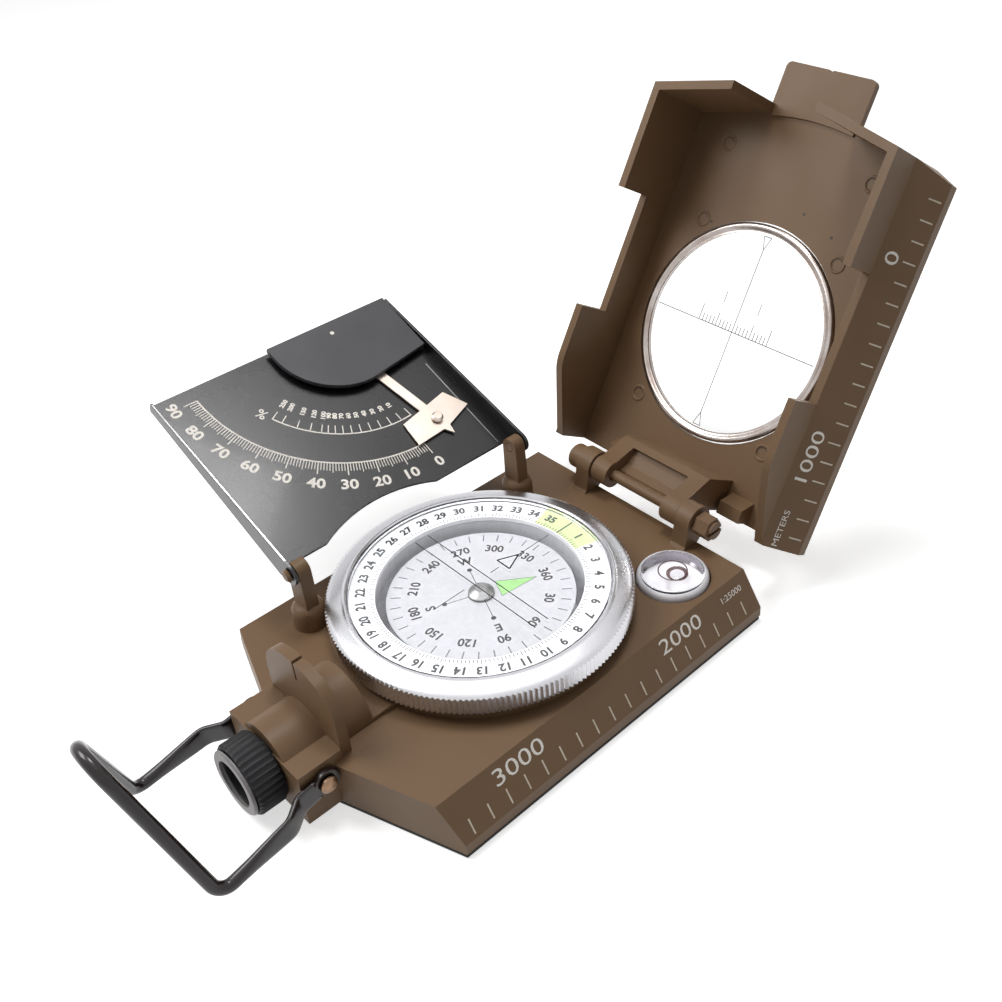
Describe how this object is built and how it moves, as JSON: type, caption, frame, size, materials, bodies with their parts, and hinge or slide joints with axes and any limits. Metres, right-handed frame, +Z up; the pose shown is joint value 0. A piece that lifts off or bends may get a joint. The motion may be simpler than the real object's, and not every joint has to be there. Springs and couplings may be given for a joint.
{
  "type": "geology compass",
  "caption": "Folding sighting compass with a hinged lens lid, map rulers, a turning bezel over a floating card, a round level, a fold-out clinometer plate and a wire bail.",
  "frame": {"origin": "on the underside of the rubber sole, below the axis of the dial", "axes": "+Z up along the dial's axis, +Y towards the lid's hinge, -Y towards the eyepiece, -X towards the fold-out clinometer plate"},
  "size_m": [0.0974, 0.1745, 0.086],
  "materials": {
    "brown_paint": "satin crinkle paint",
    "black_rubber": "matte",
    "bright_aluminium": "machined bright",
    "white_print": "white, printed",
    "clear_glass": "clear polished",
    "steel": "turned",
    "magnet": "dark, dull",
    "charcoal": "matte",
    "rim_grey": "satin",
    "black_enamel": "gloss enamel",
    "copper": "worn, coppery",
    "plate_black": "satin black, printed",
    "cover_grey": "satin",
    "cream_metal": "satin"
  },
  "bodies": {
    "base": {"base_casting": "brown_paint", "sole_pad": "black_rubber", "sight_prism": "clear_glass", "hinge_rod": "brown_paint", "hinge_cap": "brown_paint", "hinge_screw": "brown_paint", "capsule_bowl": "bright_aluminium", "needle_pivot": "steel", "level_seat": "white_print", "level_vial": "clear_glass", "clinometer_pin_near": "steel", "clinometer_pin_far": "steel", "bail_rivet_left": "copper", "bail_rivet_right": "copper"},
    "lid": {"lid_casting": "brown_paint", "lens_ring": "bright_aluminium", "lens_glass": "clear_glass"},
    "bezel": {"bezel_ring": "bright_aluminium", "azimuth_ring": "white_print", "crystal": "clear_glass"},
    "card": {"card_disc": "white_print", "card_hub": "bright_aluminium", "card_magnet": "magnet"},
    "clinometer": {"clinometer_plate": "plate_black", "clinometer_cover": "cover_grey", "pendulum_pin": "steel"},
    "pendulum": {"pendulum_arm": "cream_metal", "pendulum_rivet": "cream_metal"},
    "bail": {"bail_wire": "black_enamel"},
    "eyepiece": {"eyepiece_barrel": "charcoal", "eyepiece_rim": "rim_grey", "eyepiece_lens": "clear_glass"}
  },
  "joints": [
    {"name": "lid_hinge", "type": "hinge", "parent": "base", "child": "lid", "pos_m": [0, 0.04166, 0.015], "axis": [-1, 0, 0], "range_deg": [-62, 58.6]},
    {"name": "clinometer_fold", "type": "hinge", "parent": "base", "child": "clinometer", "pos_m": [-0.0206, 0.0017, 0.023], "axis": [0, 1, 0], "range_deg": [0, 155.7]},
    {"name": "pendulum_swing", "type": "hinge", "parent": "clinometer", "child": "pendulum", "pos_m": [-0.06083, 0.0137, 0.03839], "axis": [0.4109, 0, 0.9117], "range_deg": [-99, 1]},
    {"name": "bezel_turn", "type": "hinge", "parent": "base", "child": "bezel", "pos_m": [0, 0, 0.0122], "axis": [0, 0, 1], "continuous": true},
    {"name": "card_turn", "type": "hinge", "parent": "base", "child": "card", "pos_m": [0, 0, 0.0132], "axis": [0, 0, 1], "continuous": true},
    {"name": "bail_swing", "type": "hinge", "parent": "base", "child": "bail", "pos_m": [0, -0.0432, 0.0089], "axis": [-1, 0, 0], "range_deg": [-7, 105]},
    {"name": "eyepiece_focus", "type": "slide", "parent": "base", "child": "eyepiece", "axis": [0, -1, 0], "range_m": [0, 0.0015]}
  ]
}
